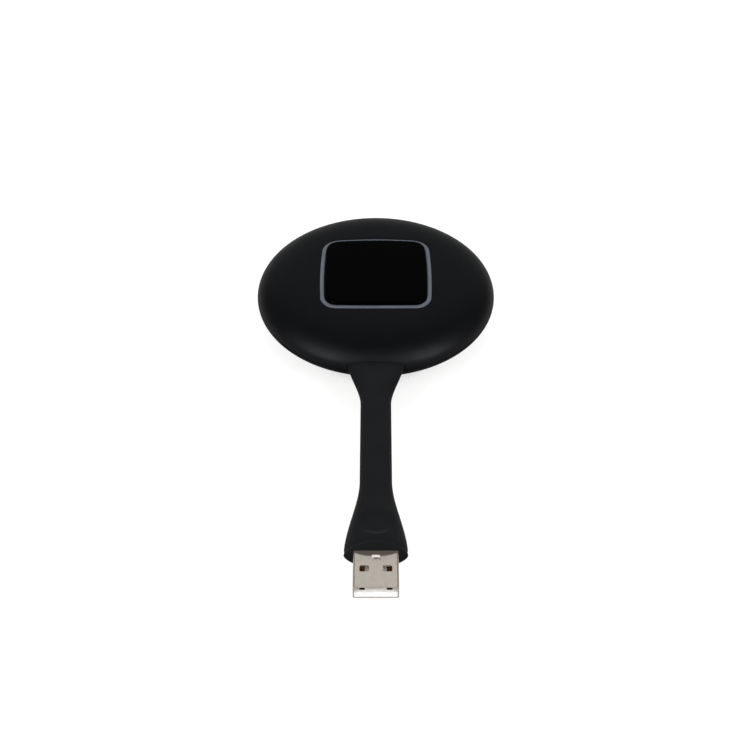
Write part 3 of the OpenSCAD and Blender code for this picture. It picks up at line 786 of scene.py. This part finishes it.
def notch_cutter():
    """The strap's form grown by the notch's gap as far as NOTCH_Y, and straight on outwards from there."""
    rings = [strap_ring(y, -NOTCH_GAP) for y in steps(BLOCK_Y, NOTCH_Y, 0.5)]
    rings.append([(x, -PUCK_R - PAST, z) for x, _, z in rings[-1]])
    return loft("cutter", rings)


def fitted_ring(model, y, reach):
    """A ring at y with its points in the same directions as another ring's. reach gives the distance."""
    ring = []
    for x, _, z in model:
        angle = math.atan2(z - STRAP_Z, x)
        r = reach(angle)
        ring.append((r * math.cos(angle), y, STRAP_Z + r * math.sin(angle)))
    return ring


def round_reach(r):
    """Distance to a circle, as a function of the direction."""
    return lambda angle: r


def box_reach(half_w, half_h):
    """Distance to a rectangle's outline, as a function of the direction."""

    def reach(angle):
        across, up = abs(math.cos(angle)), abs(math.sin(angle))
        return min(half_w / max(across, 1e-9), half_h / max(up, 1e-9))

    return reach


def steps(start, end, size):
    """Even places from start to end, no more than a step apart."""
    count = max(1, math.ceil(abs(end - start) / size))
    return [start + (end - start) * i / count for i in range(count + 1)]


def strap_root():
    """Half of the strap that grows out of the puck, with its flange and waist inside."""
    model = strap_ring(ROOT_Y)
    bore = round_reach(CABLE_R + SNUG_GAP)
    flange = box_reach(ROOT_W / 2 + FLANGE_OUT[0], ROOT_T / 2 + FLANGE_OUT[1])
    waist = box_reach(ROOT_W / 2 + WAIST_OUT[0], ROOT_T / 2 + WAIST_OUT[1])
    rings = [
        fitted_ring(model, ANCHOR_Y, bore),
        fitted_ring(model, ANCHOR_Y, flange),
        fitted_ring(model, FLANGE_Y, flange),
        fitted_ring(model, FLANGE_Y, waist),
        fitted_ring(model, BLOCK_Y, waist),
    ]
    rings += [strap_ring(y) for y in steps(BLOCK_Y, SPLIT_Y, 0.5)]
    rings += [fitted_ring(model, y, bore) for y in steps(SPLIT_Y, ANCHOR_Y, 1.0)[:-1]]
    return loft("strap_root", rings, wrap=True)


def dimple(x, y, z):
    """Height of the grip's upper side with the thumb dimple pressed in."""
    r = (DIMPLE_D**2 / 4 + DIMPLE_DEPTH**2) / (2 * DIMPLE_DEPTH)
    top = STRAP_Z + strap_size(DIMPLE_Y, ROOT_T, STRAP_T, GRIP_T) / 2
    aside = r**2 - (x * DIMPLE_STRETCH) ** 2 - (y - DIMPLE_Y) ** 2
    if z < STRAP_Z or aside <= 0:
        return z
    bowl = top - DIMPLE_DEPTH + r - math.sqrt(aside)
    soft = 0.06
    gap = bowl - z
    return z + (gap - math.sqrt(gap * gap + soft * soft)) / 2


def grip_ring(y, inset=0.0, setback=0.4):
    """Ring of the grip, with the dimple, a lip, and its mouth set back above and below the plug."""
    ring = []
    half_t = strap_size(MOUTH_Y, ROOT_T, STRAP_T, GRIP_T) / 2
    deepest = MOUTH_Y + HOLLOW_PLACE
    fade = ease(-y, -MOUTH_Y - HOLLOW_END, -deepest)
    relief = HOLLOW_DEPTH * fade * ease(y, MOUTH_Y + MOUTH_LIP_L, deepest)
    for x, place, z in strap_ring(y, inset + relief):
        back = setback * ease(y, PLUG_BACK_Y, MOUTH_Y) * ((z - STRAP_Z) / half_t) ** 2
        ring.append((x, place + back, dimple(x, place + back, z)))
    return ring


def strap_plug():
    """Half of the strap that carries the plug, with the dimple and the open mouth."""
    model = strap_ring(MOUTH_Y)
    rim = 0.2
    hollow_y = MOUTH_Y + HOLLOW_END
    rings = [grip_ring(y) for y in steps(SPLIT_Y, hollow_y, 0.4)[:-1]]
    rings += [grip_ring(y) for y in steps(hollow_y, MOUTH_Y + rim, 0.1)]
    for up, back in quarter_turns()[1:]:
        rings.append(grip_ring(MOUTH_Y + rim * (1 - up), rim * (1 - back)))
    pocket = box_reach(PLUG_W / 2 + SNUG_GAP, PLUG_T / 2 + SNUG_GAP)
    rings.append(fitted_ring(model, MOUTH_Y, pocket))
    rings.append(fitted_ring(model, MOULD_FRONT_Y, pocket))
    rings += [strap_ring(y, MOULD_WALL) for y in steps(MOULD_FRONT_Y, MOULD_BACK_Y, 1.0)]
    bore = round_reach(CABLE_R + SNUG_GAP)
    rings += [fitted_ring(model, y, bore) for y in steps(MOULD_BACK_Y, SPLIT_Y, 1.0)]
    return loft("strap_plug", rings, wrap=True)


def circle_outline(r, count=24):
    """A circle in X and Z round the strap's middle line."""
    turns = [TAU * i / count for i in range(count)]
    return [(r * math.cos(turn), STRAP_Z + r * math.sin(turn)) for turn in turns]


def cable(name, from_y, to_y):
    """A stretch of the jacketed cable inside the strap."""
    rings = [[(x, y, z) for x, z in circle_outline(CABLE_R)] for y in steps(from_y, to_y, 1.0)]
    return loft(name, [[(0, from_y, STRAP_Z)], *rings, [(0, to_y, STRAP_Z)]])


# Plug shell, cut flat and bent as sheet metal


TOP_HALF = PLUG_W / 2 - PLUG_CORNER
SIDE = PLUG_T - 2 * PLUG_CORNER
BEND = QUARTER * PLUG_CORNER
SHEET_HALF = 2 * TOP_HALF + SIDE + 2 * BEND


def bent(u, v, drop=0.0, depth=0.0):
    """Point of the bent sheet. u runs round the shell from the middle of its top, v is Y."""
    if abs(u) > SHEET_HALF:
        u -= math.copysign(2 * SHEET_HALF, u)
    side = -1 if u < 0 else 1
    run = abs(u)
    r = PLUG_CORNER - depth
    half_w, half_t = PLUG_W / 2, PLUG_T / 2
    if run <= TOP_HALF:
        x, z = run, half_t - depth
    elif run <= TOP_HALF + BEND:
        turn = (run - TOP_HALF) / PLUG_CORNER
        x, z = half_w - PLUG_CORNER + r * math.sin(turn), half_t - PLUG_CORNER + r * math.cos(turn)
    elif run <= TOP_HALF + BEND + SIDE:
        x, z = half_w - depth, half_t - PLUG_CORNER - (run - TOP_HALF - BEND)
    elif run <= TOP_HALF + 2 * BEND + SIDE:
        turn = (run - TOP_HALF - BEND - SIDE) / PLUG_CORNER
        x, z = half_w - PLUG_CORNER + r * math.cos(turn), -half_t + PLUG_CORNER - r * math.sin(turn)
    else:
        x, z = SHEET_HALF - run, -half_t + depth
    return side * x, v, STRAP_Z + z - drop


def rounded_hole(u, v, width, length, corner):
    """Outline of a rounded window in the flat sheet."""
    points = []
    for quadrant in range(4):
        su, sv = ((1, 1), (-1, 1), (-1, -1), (1, -1))[quadrant]
        for i in range(5):
            turn = QUARTER * (quadrant + i / 4)
            points.append((
                u + su * (width / 2 - corner) + corner * math.cos(turn),
                v + sv * (length / 2 - corner) + corner * math.sin(turn),
            ))
    return points


def latch_hole():
    """U-shaped cut that leaves a tapered tab on its front edge."""
    inner = LATCH_HALF - LATCH_CORNER
    nib = 0.06
    tab_end = LATCH_FRONT + TAB_L
    points = [(TAB_ROOT, LATCH_FRONT), (inner, LATCH_FRONT), (LATCH_HALF, LATCH_FRONT + LATCH_CORNER)]
    points += [(LATCH_HALF, LATCH_BACK - LATCH_CORNER), (inner, LATCH_BACK)]
    points += [(-u, v) for u, v in reversed(points)]
    tab = [(-TAB_TIP - nib, tab_end - 2 * nib), (-TAB_TIP + nib, tab_end)]
    points += tab + [(-u, v) for u, v in reversed(tab)]
    return points


def tab_drop(u, v):
    """How far the latch's tab is pressed into the shell."""
    past_end = 0.3
    inside = abs(u) < TAB_ROOT + SNUG_GAP and LATCH_FRONT < v < LATCH_FRONT + TAB_L + past_end
    return TAB_DROP * ease(v, LATCH_FRONT, LATCH_FRONT + TAB_L) if inside else 0.0


def seam_path(base):
    """Edge of the sheet along the seam under the plug, with two dovetails."""
    neck, head, reach = 1.0, 1.35, 1.1
    points = [(base, PLUG_BACK_Y)]
    dovetails = [(PLUG_TIP_Y + 13.6, 1), (PLUG_TIP_Y + 7.6, -1)]
    for y, side in dovetails:
        out = base + side * reach
        points += [(base, y + neck), (out, y + head), (out, y - head), (base, y - neck)]
    points.append((base, PLUG_TIP_Y))
    return points


def inside_polygon(point, polygon):
    u, v = point
    inside = False
    for (u1, v1), (u2, v2) in zip(polygon, polygon[1:] + polygon[:1]):
        if (v1 > v) != (v2 > v) and u < u1 + (v - v1) / (v2 - v1) * (u2 - u1):
            inside = not inside
    return inside


def cut_sheet(outline, holes):
    """Points and faces of the flat sheet, with lines along its bends and across the latch's tab."""
    bend_rows = 6
    crease_half, crease_v = 1.4, LATCH_FRONT - 0.04
    points, edges = [], []

    def add_line(line, closed):
        start = len(points)
        points.extend(Vector(p) for p in line)
        count = len(line)
        edges.extend((start + i, start + (i + 1) % count) for i in range(count if closed else count - 1))

    for polygon in [outline, *holes]:
        add_line(polygon, True)
    for side in (-1, 1):
        for start in (TOP_HALF, TOP_HALF + BEND + SIDE):
            for i in range(bend_rows + 1):
                u = side * (start + BEND * i / bend_rows)
                add_line([(u, PLUG_BACK_Y), (u, PLUG_TIP_Y)], False)
    add_line([(-crease_half, crease_v), (crease_half, crease_v)], False)
    flat, _, faces, *_ = delaunay_2d_cdt(points, edges, [], 0, 1e-5)
    kept = []
    for face in faces:
        middle = sum((flat[i] for i in face), Vector((0, 0))) / len(face)
        if inside_polygon(middle, outline) and not any(inside_polygon(middle, hole) for hole in holes):
            kept.append(list(face))
    return flat, kept


def plug_shell():
    """Sheet metal with windows, latch and seam, bent into the plug's shell."""
    seam_gap = 0.03
    right = seam_path(SHEET_HALF - seam_gap / 2)
    left = seam_path(-SHEET_HALF + seam_gap / 2)
    holes = [latch_hole()]
    for side in (-1, 1):
        for u in (WINDOW_PLACE, SHEET_HALF - WINDOW_PLACE):
            holes.append(rounded_hole(side * u, WINDOW_Y, WINDOW_W, WINDOW_L, WINDOW_CORNER))
    flat, kept = cut_sheet(right + left[::-1], holes)
    count = len(flat)
    verts = [bent(u, v, tab_drop(u, v)) for u, v in flat]
    verts += [bent(u, v, tab_drop(u, v), PLUG_WALL) for u, v in flat]
    solid = kept + [[i + count for i in reversed(face)] for face in kept]
    used = dict.fromkeys(pair for face in kept for pair in zip(face, face[1:] + face[:1]))
    for a, b in used:
        if (b, a) not in used:
            solid.append([b, a, a + count, b + count])
    shell = new_object("usb_shell", verts, solid, sharp_angle=30)
    soften(shell, 0.05)
    return shell


# Contacts and silicone columns


def contacts():
    """Four gold contacts in the tongue's slots, with a thin plate that laps over each slot's edges. At the
    outer contacts the plate is wide enough to stand in for painted shade at the windows' edges.
    """
    slot_half, low, slot_top, top = 0.5, 9.04, 9.19, 9.24
    block_y, tail_y = PLUG_TIP_Y + 8.65, PLUG_BACK_Y + 1.4

    def section(x, y, left, right):
        outline = [(-left, top), (-left, slot_top), (-slot_half, slot_top), (-slot_half, low)]
        outline += [(slot_half, low), (slot_half, slot_top), (right, slot_top), (right, top)]
        return [(x + u, y, z) for u, z in outline]

    # Place on X, distance back from the tip, and the laps on the left and the right. The laps are partly
    # the plates over the slots' edges and partly painted shade: the outer contacts' laps reach the windows'
    # outer edges, putting dark metal where there is only shade.
    strips = [(-3.5, 1, 0.78, 0.65), (-1, 2, 0.55, 0.55), (1, 2, 0.55, 0.55), (3.5, 1, 0.65, 0.78)]
    ring_sets = []
    for x, back, lap_left, lap_right in strips:
        ring_sets.append([
            section(x, PLUG_TIP_Y + back, lap_left, lap_right),
            section(x, block_y, lap_left, lap_right),
            section(x, block_y, slot_half, slot_half),
            section(x, tail_y, slot_half, slot_half),
        ])
    made = lofts("gold_strips", ring_sets)
    soften(made, 0.02)
    return made


def return_pads():
    """Four waisted silicone columns with a hollow top."""
    waist, hollow = PAD_R * 0.8, PAD_R * 0.5
    profile = [
        (0, PAD_LOW),
        (PAD_R, PAD_LOW),
        (PAD_R, PAD_LOW + 1.2),
        (waist, PAD_LOW + 1.8),
        (waist, PAD_TOP - 1.6),
        (PAD_R, PAD_TOP - 1),
        (PAD_R, PAD_TOP),
        (PAD_R * 0.6, PAD_TOP),
        (hollow, PAD_TOP - 0.8),
        (0, PAD_TOP - 0.8),
    ]
    rings = [polar_ring(circle_row(*point), count=32) for point in profile]
    places = [(x * PAD_PLACE, y * PAD_PLACE) for x in (-1, 1) for y in (-1, 1)]
    return lofts("silicone_columns", [moved(rings, x, y) for x, y in places])


# Scene


def aim(obj, target):
    obj.rotation_euler = (Vector(target) - obj.location).to_track_quat("-Z", "Y").to_euler()


# Camera, as fitted to the photograph: its place in metres, its pitch below level, and its lens
CAMERA_PLACE = (-0.0001, -0.33638, 0.28009)
CAMERA_PITCH = 42.479
CAMERA_LENS = 63.11


def make_camera():
    data = bpy.data.cameras.new("camera")
    data.lens = CAMERA_LENS
    data.sensor_width = 36
    camera = bpy.data.objects.new("camera", data)
    camera.location = CAMERA_PLACE
    camera.rotation_euler = (math.radians(90 - CAMERA_PITCH), 0, 0)
    data.clip_start = 0.01
    data.clip_end = 100
    bpy.context.scene.collection.objects.link(camera)
    bpy.context.scene.camera = camera


def lamp(name, azimuth, elevation, distance, width, height, radiance, target=(0, 0, 0.01), warmth=0.0):
    """A soft box, placed by angles in degrees and sizes in metres.

    Azimuth 0 is beyond the object, 90 on its right and 180 behind the camera. Warmth tints the light.
    """
    data = bpy.data.lights.new(name, "AREA")
    data.shape = "RECTANGLE"
    data.size = width
    data.size_y = height
    data.energy = 4 * width * height * radiance
    data.color = (1 + warmth, 1, 1 - warmth)
    obj = bpy.data.objects.new(name, data)
    a, e = math.radians(azimuth), math.radians(elevation)
    way = Vector((math.sin(a) * math.cos(e), math.cos(a) * math.cos(e), math.sin(e)))
    obj.location = Vector(target) + way * distance
    aim(obj, target)
    obj.visible_camera = False
    bpy.context.scene.collection.objects.link(obj)
    return obj


# Level of the studio for diffuse light, and as the camera sees it
AMBIENT = 0.18
BACKDROP = 0.97

# Glow of the floor and depth of its shadow as the camera sees them, and as a reflection does
SEEN_GLOW = 0.93
REFLECTED_GLOW = 0.37
SEEN_SHADOW = 0.1
REFLECTED_SHADOW = 6
SHADOW_REACH = 0.1

# The floor's reach and height in metres, and its white for diffuse light and where it glows
GROUND_REACH = 20
GROUND_Z = -0.00003
GROUND_WHITE = 0.8
GLOWING_WHITE = 0.2

# Level of the studio by its height, from the horizon to straight above
SKY = [
    (0, 0.4),
    (0.02, 0.24),
    (0.08, 0.11),
    (0.25, 0.09),
    (0.45, 0.1),
    (0.65, 0.14),
    (0.85, 0.1),
    (0.95, 0.01),
    (1, 0.01),
]
SKY_TINT = (0.92, 0.96, 1)


def grey(level):
    return level, level, level, 1


def make_world():
    """A dim studio in reflections, one even level for diffuse light, and a pale backdrop for the camera."""
    world = bpy.data.worlds.new("studio")
    bpy.context.scene.world = world
    world.use_nodes = True
    world.cycles.sampling_method = "NONE"
    tree = world.node_tree
    nodes, links = tree.nodes, tree.links
    path = nodes.new("ShaderNodeLightPath")
    place = nodes.new("ShaderNodeTexCoord")
    parts = nodes.new("ShaderNodeSeparateXYZ")
    links.new(place.outputs["Generated"], parts.inputs["Vector"])
    ramp = nodes.new("ShaderNodeValToRGB")
    elements = ramp.color_ramp.elements
    while len(elements) < len(SKY):
        elements.new(0.5)
    for element, (position, value) in zip(elements, SKY):
        element.position = position
        element.color = (*(value * share for share in SKY_TINT), 1)
    links.new(parts.outputs["Z"], ramp.inputs["Fac"])
    lit = mix_colors(tree, path.outputs["Is Diffuse Ray"], ramp.outputs["Color"], grey(AMBIENT))
    seen = mix_colors(tree, path.outputs["Is Camera Ray"], lit, grey(BACKDROP))
    links.new(seen, nodes["Background"].inputs["Color"])


def floor_white():
    """White in diffuse light, and a glow with a soft shadow in what the camera and reflections see."""
    material = bpy.data.materials.new("floor_white")
    material.use_nodes = True
    material.cycles.emission_sampling = "NONE"
    tree = material.node_tree
    nodes, links = tree.nodes, tree.links
    nodes.clear()
    out = nodes.new("ShaderNodeOutputMaterial")
    plain = nodes.new("ShaderNodeBsdfDiffuse")
    plain.inputs["Color"].default_value = grey(GROUND_WHITE)
    dim = nodes.new("ShaderNodeBsdfDiffuse")
    dim.inputs["Color"].default_value = grey(GLOWING_WHITE)
    path = nodes.new("ShaderNodeLightPath")
    by_camera = path.outputs["Is Camera Ray"]
    open_share = nodes.new("ShaderNodeAmbientOcclusion")
    open_share.samples = 8
    open_share.inputs["Distance"].default_value = SHADOW_REACH
    depth = math_node(tree, "MULTIPLY_ADD", by_camera, SEEN_SHADOW - REFLECTED_SHADOW, REFLECTED_SHADOW)
    shadow = math_node(tree, "POWER", open_share.outputs["AO"], depth)
    level = math_node(tree, "MULTIPLY_ADD", by_camera, SEEN_GLOW - REFLECTED_GLOW, REFLECTED_GLOW)
    glow = nodes.new("ShaderNodeEmission")
    links.new(math_node(tree, "MULTIPLY", shadow, level), glow.inputs["Strength"])
    both = nodes.new("ShaderNodeAddShader")
    links.new(dim.outputs["BSDF"], both.inputs[0])
    links.new(glow.outputs["Emission"], both.inputs[1])
    seen = by_camera
    for name in ("Is Glossy Ray", "Is Transmission Ray"):
        seen = math_node(tree, "MAXIMUM", seen, path.outputs[name])
    choice = nodes.new("ShaderNodeMixShader")
    links.new(seen, choice.inputs["Fac"])
    links.new(plain.outputs["BSDF"], choice.inputs[1])
    links.new(both.outputs["Shader"], choice.inputs[2])
    links.new(choice.outputs["Shader"], out.inputs["Surface"])
    return material


def make_floor():
    mesh = bpy.data.meshes.new("floor")
    corners = [(x * GROUND_REACH, y * GROUND_REACH) for x, y in ((-1, -1), (1, -1), (1, 1), (-1, 1))]
    mesh.from_pydata([(x, y, GROUND_Z) for x, y in corners], [], [(0, 1, 2, 3)])
    mesh.materials.append(floor_white())
    floor = bpy.data.objects.new("floor", mesh)
    bpy.context.scene.collection.objects.link(floor)


def make_lights():
    """Soft boxes at the sides, beyond and in front, and two fills that stay out of reflections."""
    for side in (-1, 1):
        lamp(f"side_box_{side + 1}", side * 132, 28, 0.8, 0.34, 0.34, 5.0, warmth=0.05)
        lamp(f"side_top_{side + 1}", side * 126, 47, 0.8, 0.28, 0.26, 3.3, warmth=0.05)
    lamp("back_panel", 0, 32, 0.9, 1.5, 0.6, 0.165, warmth=-0.02)
    lamp("back_strip", 0, 52, 0.7, 0.5, 0.12, 0.45, target=(0, -0.116, 0.01))
    lamp("front_box", 180, 54, 0.8, 0.5, 0.3, 0.9)
    fills = [
        lamp("front_fill", 180, 15, 0.8, 0.4, 0.3, 1.3),
        lamp("back_fill", 0, 36, 0.9, 1.2, 0.5, 2.8),
    ]
    for fill in fills:
        fill.visible_glossy = False


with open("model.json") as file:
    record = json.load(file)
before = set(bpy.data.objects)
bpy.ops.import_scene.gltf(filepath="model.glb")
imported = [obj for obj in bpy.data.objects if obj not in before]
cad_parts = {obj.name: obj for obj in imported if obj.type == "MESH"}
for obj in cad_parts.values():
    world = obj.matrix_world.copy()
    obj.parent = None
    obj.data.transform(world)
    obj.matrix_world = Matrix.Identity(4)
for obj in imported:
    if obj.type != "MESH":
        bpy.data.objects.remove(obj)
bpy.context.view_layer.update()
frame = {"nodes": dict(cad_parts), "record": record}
scene = bpy.context.scene
scene.view_settings.view_transform = "Standard"

make_camera()
make_world()
make_floor()
make_lights()
materials = make_materials()

for row in frame["record"]["subparts"]:
    dress(frame["nodes"][row["node"]], row["material_slot"], materials)

new_pieces = [
    (top_shell(), "housing", "satin_plastic", ["top_shell"]),
    (bottom_shell(), "housing", "satin_plastic", ["bottom_shell"]),
    (light_ring(), "housing", "ring_plastic", ["light_ring"]),
    (button_cap(), "button", "gloss_plastic", ["button_cap"]),
    (foot_disc(), "housing", "foot_rubber", ["foot_pad"]),
    (plug_shell(), "plug", "nickel_steel", ["plug_shell"]),
    (contacts(), "plug", "gold_contact", ["plug_contacts"]),
    (return_pads(), "housing", "silicone", ["return_pads"]),
]
for piece, body, slot, nodes in new_pieces:
    dress(piece, slot, materials)
    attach(piece, body)
    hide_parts(*nodes)

bending_pieces = [
    (strap_root(), "soft_touch_rubber", ["strap_anchor", "strap"]),
    (cable("cable_root", CABLE_START_Y, SPLIT_Y), "cable_jacket", ["strap_cable"]),
    (strap_plug(), "soft_touch_rubber", ["strap", "plug_grip"]),
    (cable("cable_plug", SPLIT_Y, CABLE_END_Y), "cable_jacket", ["strap_cable"]),
]
for piece, slot, nodes in bending_pieces:
    dress(piece, slot, materials)
    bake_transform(piece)
    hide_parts(*nodes)

columns = bpy.data.objects["silicone_columns"]
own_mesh(columns)
